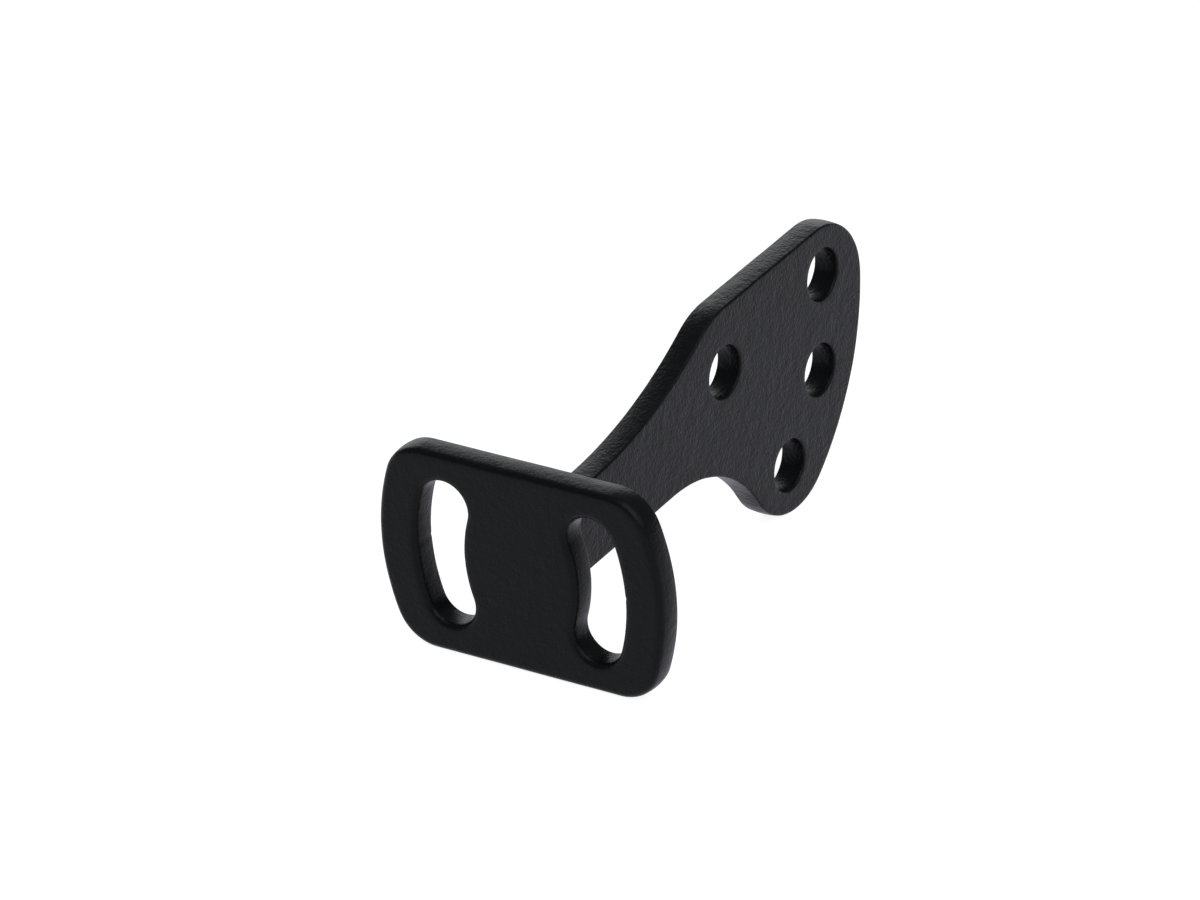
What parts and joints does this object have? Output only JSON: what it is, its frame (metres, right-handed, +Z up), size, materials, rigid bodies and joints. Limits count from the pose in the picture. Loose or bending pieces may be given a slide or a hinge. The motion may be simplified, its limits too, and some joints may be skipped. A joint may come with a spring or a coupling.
{
  "type": "adapter plate",
  "caption": "Slotted face plate with a flat arm standing square on its back, widening into a fan-shaped head with a pivot hole and index holes on an arc.",
  "frame": {"origin": "middle of the face plate's front face", "axes": "+X across the face plate, +Y back along the arm, +Z up along the face plate's short side"},
  "size_m": [0.0314, 0.0583, 0.0273],
  "materials": {
    "black_powder_coat": "fine textured black powder coat"
  },
  "bodies": {
    "root": {"adapter_plate": "black_powder_coat"}
  },
  "joints": []
}
